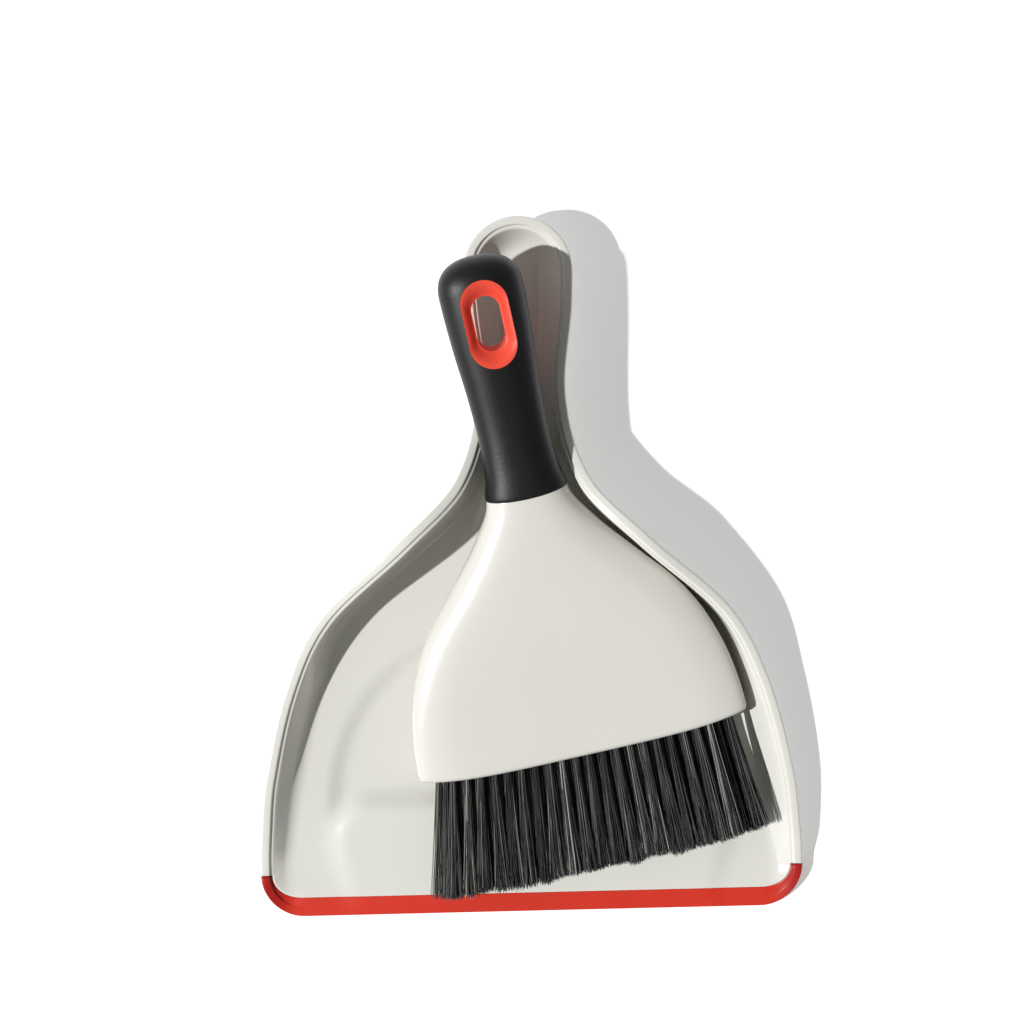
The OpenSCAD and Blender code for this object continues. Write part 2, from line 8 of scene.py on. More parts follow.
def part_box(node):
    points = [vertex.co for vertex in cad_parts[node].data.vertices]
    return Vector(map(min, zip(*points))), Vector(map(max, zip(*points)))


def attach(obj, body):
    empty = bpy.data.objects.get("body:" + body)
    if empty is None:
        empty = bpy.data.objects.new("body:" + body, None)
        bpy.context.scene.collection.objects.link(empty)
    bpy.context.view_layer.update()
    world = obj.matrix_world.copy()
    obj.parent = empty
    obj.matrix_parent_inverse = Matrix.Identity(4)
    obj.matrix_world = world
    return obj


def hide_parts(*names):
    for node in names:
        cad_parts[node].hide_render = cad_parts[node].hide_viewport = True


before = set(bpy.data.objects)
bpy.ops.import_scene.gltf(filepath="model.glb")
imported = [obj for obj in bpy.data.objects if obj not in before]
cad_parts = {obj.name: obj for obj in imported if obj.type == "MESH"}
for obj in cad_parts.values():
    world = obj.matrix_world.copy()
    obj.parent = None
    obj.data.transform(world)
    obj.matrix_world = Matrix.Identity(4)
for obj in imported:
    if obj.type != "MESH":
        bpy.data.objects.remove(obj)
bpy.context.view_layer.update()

# ---------------------------------------------------------------------------
# Dust pan. One shot of off-white ABS, glossy from a polished mould, with a
# turned-out rim, leaning walls, a ramp behind the lip and an open trough as its
# handle. The front edge is thinned to a tongue for the rubber lip.
# ---------------------------------------------------------------------------

# Sizes are in millimetres, and this turns them to metres.
MM = 0.001

pan_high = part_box("pan_body")[1]
lip_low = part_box("pan_lip")[0]
skirt_out = 0.5
pan_len = (pan_high.y - lip_low.y) / MM - skirt_out
corner_r = 18.0
half_w = 116.0
handle_r = 23.0
end_s = pan_len - handle_r

# Half the pan's width, the rim's height, how far inside the wall's foot lies and how round it is,
# against the distance s from the lip's front edge
SIDE = [(corner_r, half_w), (34, half_w - 0.8), (60, half_w - 3.6), (100, half_w - 14),
        (130, half_w - 30), (160, 52.5), (185, 28.5), (220, 19), (258, handle_r - 0.6), (end_s, handle_r)]
RIM = [(corner_r, 7), (32, 11.5), (60, 16), (100, 21), (130, 29.5), (162, 42.5), (183, 38),
       (205, 29.3), (220, 27.3), (240, 27), (end_s, 27)]
FOOT = [(corner_r, 11), (60, 12.5), (105, 11.5), (130, 7), (155, 5.6), (200, 8), (end_s, 11)]
ROUND = [(corner_r, 0.3), (140, 0.3), (200, 0.7), (end_s, 0.7)]

# The floor's heights: in the dust well, behind it and in the handle's trough
floor_t, rear_floor_z, trough_z = 2.2, 4.2, 12.5
# The dust well's edge is an oval round a point well_s behind the front edge.
well_half, well_len, well_s = 88.0, 80.0, 50.0
# The ramp is narrower at the lip, where the foot of its slope is ramp_front_half from the middle.
ramp_z, ramp_s, ramp_half, ramp_slope, ramp_corner = 6.4, 44.0, 79.0, 11.5, 10.0
ramp_front_half, ramp_taper_s = 83.0, 30.0
lip_w, lip_end_w, lip_front_z = 8.0, 4.6, 1.9
base_end, rise_end, under_gap = 140.0, 205.0, 2.3
# The rim: a flat band, a ledge a step below it that falls a little inwards, and a thin skirt outside
rim_band, rim_t, rim_land, rim_draft, edge_r, small_r = 3.5, 2.2, 3.0, 0.25, 0.7, 0.3
ledge_drop, ledge_in, ledge_fall = 1.5, 5.2, 0.3
skirt, skirt_edge_t, skirt_root_t = 4.2, 1.0, 1.5
wall_t, foot_reach, base_corner, base_r = 2.2, 4.0, 1.2, 0.8


def curve(points, p):
    """A smooth curve through the points, level at its ends."""
    i = 0
    while i < len(points) - 2 and p >= points[i + 1][0]:
        i += 1

    def slope(k):
        if k in (0, len(points) - 1):
            return 0.0
        (a, u), (b, v) = points[k - 1], points[k + 1]
        return (v - u) / (b - a)

    (a, u), (b, v) = points[i], points[i + 1]
    run = b - a
    t = (p - a) / run
    return ((2 * t**3 - 3 * t**2 + 1) * u + (t**3 - 2 * t**2 + t) * run * slope(i)
            + (3 * t**2 - 2 * t**3) * v + (t**3 - t**2) * run * slope(i + 1))


def mix(a, b, t):
    return a + (b - a) * t


def smooth(v):
    t = min(1.0, max(0.0, v))
    return t * t * (3 - 2 * t)


def handle_rise(s):
    """How far the pan has risen to its handle: 0 on the base and 1 in the trough."""
    return smooth((s - base_end) / (rise_end - base_end))


def plain_floor_z(x, s):
    """Height of the floor without its ramp."""
    edge = math.hypot(x / well_half, max(0.0, s - well_s) / well_len)
    past_well = smooth((edge - 0.9) / 0.1) * smooth((s - 8) / 40)
    return mix(floor_t, rear_floor_z, past_well) + (trough_z - rear_floor_z) * handle_rise(s)


def floor_z(x, s):
    """Height of the floor: the ramp with its rounded sides, the dust well and the rise to the handle."""
    taper = (ramp_half + ramp_slope - ramp_front_half) * (1 - smooth(s / ramp_taper_s))
    outside = math.hypot(max(0.0, abs(x) - ramp_half + ramp_corner + taper),
                         max(0.0, s - ramp_s + ramp_corner)) - ramp_corner
    on_ramp = 1 - smooth(outside / ramp_slope)
    ramp = mix(lip_front_z, ramp_z, min(1.0, s / ramp_s))
    return mix(mix(lip_front_z, plain_floor_z(x, s), smooth(s / 14)), ramp, on_ramp)


def underside_z(s):
    return (trough_z - under_gap) * handle_rise(s)


def stations(corner_steps, side_pitch, end_steps, columns):
    """Places round the rim, as (x, s, inward x, inward s, wall): wall is 0 in front and 1 on a side."""
    right = []
    corner_x = half_w - corner_r
    for i in range(corner_steps + 1):
        a = math.radians(90 * i / corner_steps - 90)
        right.append((corner_x + corner_r * math.cos(a), corner_r + corner_r * math.sin(a),
                      -math.cos(a), -math.sin(a), smooth(i / corner_steps)))
    steps = round((end_s - corner_r) / side_pitch)
    for s in [corner_r + 0.25] + [mix(corner_r, end_s, i / steps) for i in range(1, steps + 1)]:
        w = curve(SIDE, s + 0.5) - curve(SIDE, s - 0.5)
        n = math.hypot(1, w)
        right.append((curve(SIDE, s), s, -1 / n, w / n, 1.0))
    for i in range(1, end_steps):
        a = math.radians(90 * i / end_steps)
        c, n = math.cos(a), math.sin(a)
        right.append((handle_r * c, end_s + handle_r * n, -c, -n, 1.0))
    tip = (0.0, end_s + handle_r, 0.0, -1.0, 1.0)
    left = [(-x, s, -nx, ns, wall) for x, s, nx, ns, wall in reversed(right)]
    front = [(corner_x * column_place(j, columns, 0), 0.0, 0.0, 1.0, 0.0) for j in range(1, columns)]
    return right, right + [tip] + left + front


def column_place(j, columns, s):
    """Where a column runs across the floor, -1 to 1: closer together at the walls, even in the handle."""
    even = 2 * j / columns - 1
    return mix(math.sin(math.pi / 2 * even), even, handle_rise(s))


CORNER_PLACES = (0, 0.25, 0.5, 0.75, 1)


def rounded(corners):
    """A polyline with its inner corners rounded: each corner is (d, z, radius)."""
    pts = [corners[0][:2]]
    for before, here, after in zip(corners, corners[1:], corners[2:]):
        p = np.array(here[:2], float)
        a = np.array(before[:2], float) - p
        b = np.array(after[:2], float) - p
        la, lb = max(np.linalg.norm(a), 1e-6), max(np.linalg.norm(b), 1e-6)
        cut = min(here[2], 0.48 * la, 0.48 * lb)
        pa, pb = p + a / la * cut, p + b / lb * cut
        for t in CORNER_PLACES:
            pts.append(tuple((1 - t)**2 * pa + 2 * t * (1 - t) * p + t * t * pb))
    pts.append(corners[-1][:2])
    return pts


FOOT_STEPS, WALL_STEPS = 8, 5


def section(st, lip_to):
    """The pan's section at a station, as points (distance inside the outer edge, height).

    It runs up the wall, over the rim and back underneath. The places of the rim's start and end in it follow.
    """
    x, s, nx, ns, q = st
    on_side = q >= 1
    h = curve(RIM, min(s, end_s)) if on_side else mix(lip_front_z, RIM[0][1], q)
    f = curve(FOOT, min(s, end_s)) if on_side else FOOT[0][1]
    band = ledge_in if on_side and s > lip_to else mix(lip_w, lip_end_w, q)

    def ground(d):
        return floor_z(x + nx * d, s + ns * d)

    foot_z = ground(f + foot_reach)
    a, b = (f + foot_reach, foot_z), (f, foot_z)
    ledge = (band, h - ledge_drop - ledge_fall)
    share = curve(ROUND, min(max(s, corner_r), end_s))
    c = (mix(b[0], ledge[0], share), mix(b[1], ledge[1], share))
    wall = []
    for i in range(FOOT_STEPS + 1):
        t = i / FOOT_STEPS
        wall.append(tuple((1 - t)**2 * a[k] + 2 * t * (1 - t) * b[k] + t * t * c[k] for k in (0, 1)))
    for i in range(1, WALL_STEPS + 1):
        wall.append((mix(c[0], ledge[0], i / WALL_STEPS), mix(c[1], ledge[1], i / WALL_STEPS)))
    skirt_z = max(0.0, h - skirt)
    filled = not (on_side and s > lip_to)
    under_d = mix(band, max(rim_land, band - wall_t), q)
    rim = rounded([
        ledge, (band * 0.9, h - ledge_drop, 0.5), (rim_band + rim_draft, h - ledge_drop, small_r),
        (rim_band, h, edge_r), (0.0, h, edge_r), (-skirt_out * q, skirt_z, 0.5 if q > 0.5 else 0.8),
        (skirt_edge_t, skirt_z, small_r), (skirt_root_t, skirt_z if filled else h - rim_t, small_r),
        (under_d, skirt_z if filled else h - rim_t - ledge_drop),
    ])
    # The rim and the wall sink to the floor round each front corner, and are level with it along the
    # front edge. The outer edge starts after the rim's top corners, and the skirt keeps its own height.
    outer_edge, skirt_start = 3 * len(CORNER_PLACES) + 1, 4 * len(CORNER_PLACES) + 3
    top = []
    for i, (d, z) in enumerate(rim):
        if i < skirt_start and z > skirt_z + 0.01:
            level = ground(max(d, 0.0))
            z = mix(min(level, ground(0.8)) if i > outer_edge else level, z, q)
        top.append((d, z))
    wall = [(d, mix(ground(d), z, q)) for d, z in wall]
    zu = underside_z(s + ns * f)
    under = rounded([top[-1], (f - wall_t, zu + base_corner * q, base_corner), (f - base_r, zu, base_r),
                     (f + foot_reach, zu)])[1:]
    start = len(wall) - 1
    return wall[:-1] + top + under, start, start + len(top) - 1


# How far the tongue's tip stays behind the lip's front, and the part of the lip's height that it takes up
TONGUE_TIP, TONGUE_TOP, TONGUE_UNDER = 2.2, 0.65, 0.3


def tongue(sec, start, stop):
    """Points of the tongue under the lip, as many as the section has from start to stop."""
    (d, top), (du, under) = sec[start], sec[stop]
    hi, lo = mix(under, top, TONGUE_TOP), mix(under, top, TONGUE_UNDER)
    path = [(d, hi), (TONGUE_TIP, hi), (TONGUE_TIP, lo), (du, lo)]
    lengths = [math.dist(p, r) for p, r in zip(path, path[1:])]
    count = stop - start - 1
    pts = []
    for i in range(count):
        along = sum(lengths) * i / (count - 1)
        k = 0
        while k < 2 and along > lengths[k]:
            along -= lengths[k]
            k += 1
        t = min(1.0, along / lengths[k])
        pts.append((mix(path[k][0], path[k + 1][0], t), mix(path[k][1], path[k + 1][1], t)))
    return pts


def new_piece(name, points, faces):
    """A smooth-shaded object from points in metres."""
    mesh = bpy.data.meshes.new(name)
    mesh.from_pydata([tuple(p) for p in points], [], faces)
    mesh.validate()
    mesh.shade_smooth()
    piece = bpy.data.objects.new(name, mesh)
    bpy.context.scene.collection.objects.link(piece)
    return piece


def srgb(hex_code, alpha=1.0):
    """A linear colour from an sRGB hex code."""
    parts = [int(hex_code[i:i + 2], 16) / 255 for i in (1, 3, 5)]
    return (*[c / 12.92 if c <= 0.04045 else ((c + 0.055) / 1.055) ** 2.4 for c in parts], alpha)


def add(tree, kind, settings=(), inputs=()):
    """A node with its settings, and its inputs set to values or linked to sockets."""
    node = tree.nodes.new(kind)
    for key, value in dict(settings).items():
        setattr(node, key, value)
    for key, value in dict(inputs).items():
        if isinstance(value, bpy.types.NodeSocket):
            tree.links.new(value, node.inputs[key])
        else:
            node.inputs[key].default_value = value
    return node


def plastic(name, light, dark, roughness, peel_mm, peel_depth):
    """Moulded ABS: gloss from the mould, a faint orange-peel and faint flow clouds in the colour."""
    material = bpy.data.materials.new(name)
    material.use_nodes = True
    tree = material.node_tree
    shader = tree.nodes["Principled BSDF"]
    place = add(tree, "ShaderNodeTexCoord").outputs["Object"]
    clouds = add(tree, "ShaderNodeTexNoise", {}, {"Vector": place, "Scale": 1 / (45 * MM), "Detail": 2.0})
    tint = add(tree, "ShaderNodeMix", {"data_type": "RGBA"},
               {"Factor": clouds.outputs["Fac"], "A": srgb(light), "B": srgb(dark)})
    peel = add(tree, "ShaderNodeTexNoise", {}, {"Vector": place, "Scale": 1 / (peel_mm * MM), "Detail": 3.0})
    gloss = add(tree, "ShaderNodeMapRange", {},
                {"Value": peel.outputs["Fac"], "To Min": roughness - 0.03, "To Max": roughness + 0.05})
    bump = add(tree, "ShaderNodeBump", {},
               {"Height": peel.outputs["Fac"], "Strength": 0.3, "Distance": peel_depth * MM})
    tree.links.new(tint.outputs["Result"], shader.inputs["Base Color"])
    tree.links.new(gloss.outputs["Result"], shader.inputs["Roughness"])
    tree.links.new(bump.outputs["Normal"], shader.inputs["Normal"])
    shader.inputs["IOR"].default_value = 1.53
    return material


# Off-white ABS, warm grey-white, polished by the mould
PAN_PLASTIC = plastic("ABS moulded off-white", "#D9D8D1", "#D4D3CB", 0.16, 9.0, 0.012)

CORNER_STEPS, SIDE_PITCH, END_STEPS, COLUMNS = 20, 2.0, 24, 72
RIGHT, ROUND_RIM = stations(CORNER_STEPS, SIDE_PITCH, END_STEPS, COLUMNS)
ROWS, RING = len(RIGHT), len(ROUND_RIM)
LEFT_FRONT = 2 * ROWS
SECTIONS = [section(st, corner_r) for st in ROUND_RIM]
START, STOP = SECTIONS[0][1], SECTIONS[0][2]
TONGUES = [tongue(sec, START, STOP) for sec, _, _ in SECTIONS]


def at(st, d, z):
    """A point of the section at a station, in metres."""
    return ((st[0] + st[2] * d) * MM, (st[1] + st[3] * d - pan_len / 2) * MM, z * MM)


def build_pan():
    """The pan's sections joined round the rim, with a skin of columns over the floor and under the base."""
    levels = len(SECTIONS[0][0])
    ring = []
    for n, (sec, start, stop) in enumerate(SECTIONS):
        has_lip = n <= CORNER_STEPS or n >= LEFT_FRONT - CORNER_STEPS
        ring.append(sec[:start + 1] + TONGUES[n] + sec[stop:] if has_lip else sec)
    points = [at(ROUND_RIM[n], *ring[n][c]) for c in range(levels) for n in range(RING)]
    faces = []
    for c in range(0, (levels - 1) * RING, RING):
        for n in range(RING):
            e = (n + 1) % RING
            faces.append((c + RING + n, c + RING + e, c + e, c + n))

    def skin(level, height, flip):
        first = len(points)
        for i in range(1, ROWS):
            edge_x, edge_y, edge_z = points[level * RING + i]
            s = edge_y / MM + pan_len / 2
            for j in range(1, COLUMNS):
                x = edge_x * column_place(j, COLUMNS, s)
                points.append((x, edge_y, height(x / MM, s) * MM if height else edge_z))

        def index(i, j):
            if j == COLUMNS:
                return level * RING + i
            if j == 0:
                return level * RING + LEFT_FRONT - i
            if i == 0:
                return level * RING + LEFT_FRONT + j
            return first + (i - 1) * (COLUMNS - 1) + j - 1

        for i in range(ROWS - 1):
            for j in range(COLUMNS):
                face = (index(i, j), index(i, j + 1), index(i + 1, j + 1), index(i + 1, j))
                faces.append(face[::-1] if flip else face)
        for j in range(COLUMNS):
            face = (index(ROWS - 1, j), index(ROWS - 1, j + 1), level * RING + ROWS)
            faces.append(face[::-1] if flip else face)

    skin(0, floor_z, False)
    skin(levels - 1, None, True)
    return new_piece("pan_shell", points, faces)


pan = build_pan()
pan.data.materials.append(PAN_PLASTIC)
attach(pan, "pan")
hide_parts("pan_body")

# ---------------------------------------------------------------------------
# Lip. Soft red thermoplastic rubber, moulded over the pan's tongue from one
# front corner round to the other, so that it seals against the floor.
# ---------------------------------------------------------------------------


def rubber(name, light, dark, roughness, grain_mm, grain_depth):
    """Thermoplastic rubber: satin, with a fine spark-eroded grain from its mould."""
    material = bpy.data.materials.new(name)
    material.use_nodes = True
    tree = material.node_tree
    shader = tree.nodes["Principled BSDF"]
    place = add(tree, "ShaderNodeTexCoord").outputs["Object"]
    patches = add(tree, "ShaderNodeTexNoise", {}, {"Vector": place, "Scale": 1 / (14 * MM), "Detail": 3.0})
    grain = add(tree, "ShaderNodeTexNoise", {},
                {"Vector": place, "Scale": 1 / (grain_mm * MM), "Detail": 2.0, "Roughness": 0.6})
    tint = add(tree, "ShaderNodeMix", {"data_type": "RGBA"},
               {"Factor": patches.outputs["Fac"], "A": srgb(light), "B": srgb(dark)})
    satin = add(tree, "ShaderNodeMapRange", {},
                {"Value": grain.outputs["Fac"], "From Min": 0.3, "From Max": 0.7,
                 "To Min": roughness - 0.08, "To Max": roughness + 0.08})
    bump = add(tree, "ShaderNodeBump", {},
               {"Height": grain.outputs["Fac"], "Strength": 0.6, "Distance": grain_depth * MM})
    tree.links.new(tint.outputs["Result"], shader.inputs["Base Color"])
    tree.links.new(satin.outputs["Result"], shader.inputs["Roughness"])
    tree.links.new(bump.outputs["Normal"], shader.inputs["Normal"])
    shader.inputs["IOR"].default_value = 1.42
    return material


# Red TPE, with painted shade: its colour darkens to a deep red towards the two front corners
RED_RUBBER = rubber("TPE satin red", "#CE3320", "#C42A18", 0.42, 0.8, 0.02)
lip_tree = RED_RUBBER.node_tree
lip_colour = lip_tree.nodes["Principled BSDF"].inputs["Base Color"]
lip_place = add(lip_tree, "ShaderNodeTexCoord").outputs["Object"]
across = add(lip_tree, "ShaderNodeSeparateXYZ", {}, {0: lip_place}).outputs["X"]
from_middle = add(lip_tree, "ShaderNodeMath", {"operation": "ABSOLUTE"}, {0: across}).outputs[0]
# Painted shade: a mask that darkens the lip's colour towards both of its corners
corner_shade_mask = add(lip_tree, "ShaderNodeMapRange", {"interpolation_type": "SMOOTHSTEP"}, {
    "Value": from_middle, "From Min": (half_w - corner_r + 2) * MM, "From Max": (half_w - 3) * MM,
})
painted_corner_shade = add(lip_tree, "ShaderNodeMix", {"data_type": "RGBA"}, {
    "Factor": corner_shade_mask.outputs["Result"], "A": lip_colour.links[0].from_socket, "B": srgb("#A0140A"),
})
lip_tree.links.new(painted_corner_shade.outputs["Result"], lip_colour)


def build_lip():
    """The rim's outside joined to the tongue's, along the front edge and round both corners."""
    order = list(range(LEFT_FRONT - CORNER_STEPS, RING)) + list(range(CORNER_STEPS + 1))
    loops = [SECTIONS[n][0][START:STOP + 1] + TONGUES[n][::-1] for n in order]
    around = len(loops[0])
    last = len(order) - 1
    points = [at(ROUND_RIM[n], *p) for n, loop in zip(order, loops) for p in loop]
    faces = []
    for k in range(0, last * around, around):
        for c in range(around):
            e = (c + 1) % around
            faces.append((k + c, k + e, k + around + e, k + around + c))
    # The end caps join the outside to the tongue, whose points run the other way.
    outside = STOP - START

    def inside(i):
        return around - 1 - min(i, around - outside - 2)

    for base, flip in ((0, True), (last * around, False)):
        for i in range(outside):
            face = [i, i + 1, inside(i + 1), inside(i)]
            if face[2] == face[3]:
                face.pop()
            faces.append([base + v for v in (reversed(face) if flip else face)])
    return new_piece("lip_rubber", points, faces)


lip = build_lip()
lip.data.materials.append(RED_RUBBER)
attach(lip, "pan")
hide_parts("pan_lip")

# ---------------------------------------------------------------------------
# Brush head. Two off-white ABS shells, front and back, welded along the middle
# of the brush, with a hair-line at the joint. The front has a shallow panel
# whose lower corners are rounded. A tang runs up into the grip.
# ---------------------------------------------------------------------------

BRUSH_TURN, BRUSH_RISE = 11.4, 10.3
BRUSH_AT = Vector((23.2, 72.5 - pan_len / 2, 14.0)) * MM
IN_PAN = (Matrix.Translation(BRUSH_AT) @ Matrix.Rotation(math.radians(BRUSH_TURN), 4, "Z")
          @ Matrix.Rotation(math.radians(BRUSH_RISE), 4, "X"))

head_len, head_w, neck_w, head_t, neck_t, shell_t = 111.8, 143.0, 35.0, 17.0, 23.0, 2.0
tang_len, tang_half_w, tang_half_t = 48.0, 10.5, 7.5
edge_bow, grip_full, seam_gap = 3.4, 2.6, 0.12
HEAD_W = [(0, head_w / 2), (16, head_w / 2 - 1.1), (31, head_w / 2 - 4), (47, head_w / 2 - 9.7),
          (62, head_w / 2 - 18.2), (79, head_w / 2 - 32.4), (96, neck_w / 2 + 8), (head_len, neck_w / 2)]
HEAD_T = [(0, head_t / 2), (20, head_t / 2), (90, neck_t / 2 - 0.5), (head_len, neck_t / 2)]
# How full the rounded section is: 2 is an ellipse, and more is nearer a box
HEAD_FULL = [(0, 6), (16, 5.6), (60, 3.4), (head_len, grip_full)]
BOW_POWER, BOW_LEN = 4, 40.0


def brush_point(x, y, z):
    """A point of the brush's own frame, in millimetres, where it lies in the pan."""
    return IN_PAN @ (Vector((x, y, z)) * MM)


def bow(x, y):
    """The head's lower edge is bowed: it reaches furthest down at its middle."""
    faded = 1 - min(1.0, max(0.0, y / BOW_LEN))
    return y - edge_bow * (1 - (x / (head_w / 2)) ** BOW_POWER) * faded


def full_round(angle, half_width, half_depth, fullness):
    """A point of a rounded section, fuller than an ellipse, in the direction of angle."""
    c, s = math.cos(angle), math.sin(angle)
    r = (abs(c) ** fullness + abs(s) ** fullness) ** (-1 / fullness)
    return half_width * c * r, half_depth * s * r


PANEL_MARGIN, PANEL_CORNER, PANEL_FALL, PANEL_SOFT = 15.0, 14.0, 0.07, 1.2
PANEL_LOW, PANEL_FADES, PANEL_FADE_LEN = -1.0, 70.0, 35.0
EDGE_ROLL, EDGE_ROLL_LEN = 0.5, 1.6


def panel_drop(x, y):
    """How far the front falls away outside its panel."""
    half = curve(HEAD_W, min(max(y, 0), head_len)) - PANEL_MARGIN
    side = abs(x) - half + PANEL_CORNER
    low = PANEL_CORNER + PANEL_LOW - y
    out = math.hypot(max(0.0, side), max(0.0, low)) - PANEL_CORNER if low > 0 else abs(x) - half
    fade = 1 - smooth((y - PANEL_FADES) / PANEL_FADE_LEN)
    return PANEL_FALL * fade * PANEL_SOFT * math.log1p(math.exp(min(20.0, out / PANEL_SOFT)))


def build_shell(name, front):
    """Half of the head with its half of the tang: an outer and an inner skin, closed along their edges."""
    half, rows = 96, 84
    outer = [(head_len * i / rows, 0) for i in range(rows + 1)] + [(head_len, 1), (head_len + tang_len, 1)]
    inner = [((head_len - shell_t) * i / rows, 0) for i in range(rows + 1)]
    inner += [(head_len - shell_t, 1), (head_len + tang_len, 1)]
    points = []
    for chain, wall in ((outer, 0.0), (inner, shell_t)):
        for k, (y, tang) in enumerate(chain):
            w = tang_half_w if tang else curve(HEAD_W, y)
            t = tang_half_t if tang else curve(HEAD_T, y)
            n = grip_full if tang else curve(HEAD_FULL, y)
            # The lower edge is rolled in a little.
            roll = EDGE_ROLL * (1 - smooth(y / EDGE_ROLL_LEN)) if wall == 0 else 0.0
            for i in range(half + 1):
                angle = math.pi * i / half
                x, z = full_round(angle, w - wall - roll, t - wall - roll, n)
                if wall == 0 and i in (0, half):
                    x -= math.copysign(seam_gap, x)
                if front and not tang:
                    z = max(0.0, z - panel_drop(x, y) * min(1.0, z / 4.0))
                points.append(brush_point(x, bow(x, y), z if front else -z))
    width, count = half + 1, len(outer)
    shift = count * width
    faces = []
    for r in range(count - 1):
        for i in range(half):
            a, b = r * width + i, (r + 1) * width + i
            faces.append((a, b, b + 1, a + 1))
            faces.append((shift + a, shift + a + 1, shift + b + 1, shift + b))
        a, b = r * width, (r + 1) * width
        faces.append((a, shift + a, shift + b, b))
        faces.append((a + half, b + half, shift + b + half, shift + a + half))
    top = (count - 1) * width
    for i in range(half):
        faces.append((i, i + 1, shift + i + 1, shift + i))
        faces.append((top + i, shift + top + i, shift + top + i + 1, top + i + 1))
    # The back is the front's mirror image, so its faces are turned.
    return new_piece(name, points, faces if front else [f[::-1] for f in faces])


# Off-white ABS, a touch greyer than the pan
HEAD_PLASTIC = plastic("ABS moulded grey-white", "#D6D4CD", "#D1CFC8", 0.2, 9.0, 0.012)

for name, front, node in (("head_front", True, "head_front_shell"), ("head_back", False, "head_back_shell")):
    shell = build_shell(name, front)
    shell.data.materials.append(HEAD_PLASTIC)
    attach(shell, "brush")
    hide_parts(node)

# ---------------------------------------------------------------------------
# Bristle block. A solid ABS block glued into the head's mouth, drilled with a
# leaning hole for each tuft.
# ---------------------------------------------------------------------------

BLOCK_PLASTIC = plastic("ABS drilled block", "#C9C7C0", "#BFBDB6", 0.4, 0.9, 0.03)
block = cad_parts["bristle_block"]
block.data.materials.clear()
block.data.materials.append(BLOCK_PLASTIC)

# ---------------------------------------------------------------------------
# Anchors. Short flats of nickel silver wire, driven across the fold of each
# tuft at the bottom of its hole.
# ---------------------------------------------------------------------------


def anchor_wire():
    """Drawn nickel silver: bright, with fine draw lines along the wire."""
    material = bpy.data.materials.new("nickel silver drawn wire")
    material.use_nodes = True
    tree = material.node_tree
    shader = tree.nodes["Principled BSDF"]
    place = add(tree, "ShaderNodeTexCoord").outputs["Object"]
    lines = add(tree, "ShaderNodeTexNoise", {}, {"Vector": place, "Scale": 1 / (0.2 * MM), "Detail": 2.0})
    gloss = add(tree, "ShaderNodeMapRange", {}, {"Value": lines.outputs["Fac"], "To Min": 0.2, "To Max": 0.4})
    tree.links.new(gloss.outputs["Result"], shader.inputs["Roughness"])
    shader.inputs["Base Color"].default_value = srgb("#BDB9AE")
    shader.inputs["Metallic"].default_value = 1.0
    return material


WIRE = anchor_wire()
for row in (1, 2, 3, 4):
    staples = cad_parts[f"staple_row_{row}"]
    staples.data.materials.clear()
    staples.data.materials.append(WIRE)

# ---------------------------------------------------------------------------
# Bristles. Tufts of black polypropylene filament with some grey, in four rows
# that sit half a pitch apart. Each filament leaves its hole in a tight bunch
# and spreads to a cut end; the tufts lean outwards along the row.
# ---------------------------------------------------------------------------

TUFTS, ROW_COUNT, ROW_PITCH = 22, 4, 2.95
HOLE_R, SPREAD_R, BRISTLE_LEN = 1.4, 3.0, 51.0
FILAMENTS, FRONT_FILAMENTS, FILAMENT_R = 130, 200, 0.16
LEAN_LEFT, LEAN_RIGHT = -12.0, 2.5
# How far a tuft and a filament wander from their heading, in radians, and how far a filament sways
TUFT_WANDER, FILAMENT_WANDER, SWAY_X, SWAY_Z = 0.02, 0.012, 1.6, 0.8
# The cut ends: the shortest filament as a part of the longest, and how far whole tufts differ
SHORTEST_CUT, TUFT_SHORTER, TUFT_LONGER = 0.94, -0.025, 0.015
ROOT_IN, TIP_TAPER = 1.0, 0.25
ROW_HALF = head_w / 2 - shell_t - 6.5
TUFT_PITCH = 2 * ROW_HALF / (TUFTS - 0.5)
# The tufts bend up over this length, to lie level on the ramp.
TUFT_BEND = 8.0


def filament():
    """Extruded polypropylene filament: a smooth sheen along its length, black with some grey strands."""
    material = bpy.data.materials.new("polypropylene filament black")
    material.use_nodes = True
    tree = material.node_tree
    shader = tree.nodes["Principled BSDF"]
    shade = add(tree, "ShaderNodeAttribute", {"attribute_name": "shade"})
    ramp = add(tree, "ShaderNodeValToRGB", {}, {"Fac": shade.outputs["Fac"]})
    stops = ramp.color_ramp.elements
    stops[0].position, stops[0].color = 0.0, srgb("#0B0C0D")
    stops[1].position, stops[1].color = 1.0, srgb("#B4B2AA")
    for where, tone in ((0.45, "#0E1012"), (0.68, "#222426"), (0.86, "#63625F")):
        stops.new(where).color = srgb(tone)
    place = add(tree, "ShaderNodeTexCoord").outputs["Object"]
    dust = add(tree, "ShaderNodeTexNoise", {}, {"Vector": place, "Scale": 1 / (3 * MM), "Detail": 2.0})
    gloss = add(tree, "ShaderNodeMapRange", {},
                {"Value": dust.outputs["Fac"], "To Min": 0.34, "To Max": 0.54})
    tree.links.new(ramp.outputs["Color"], shader.inputs["Base Color"])
    tree.links.new(gloss.outputs["Result"], shader.inputs["Roughness"])
    return material


FILAMENT = filament()


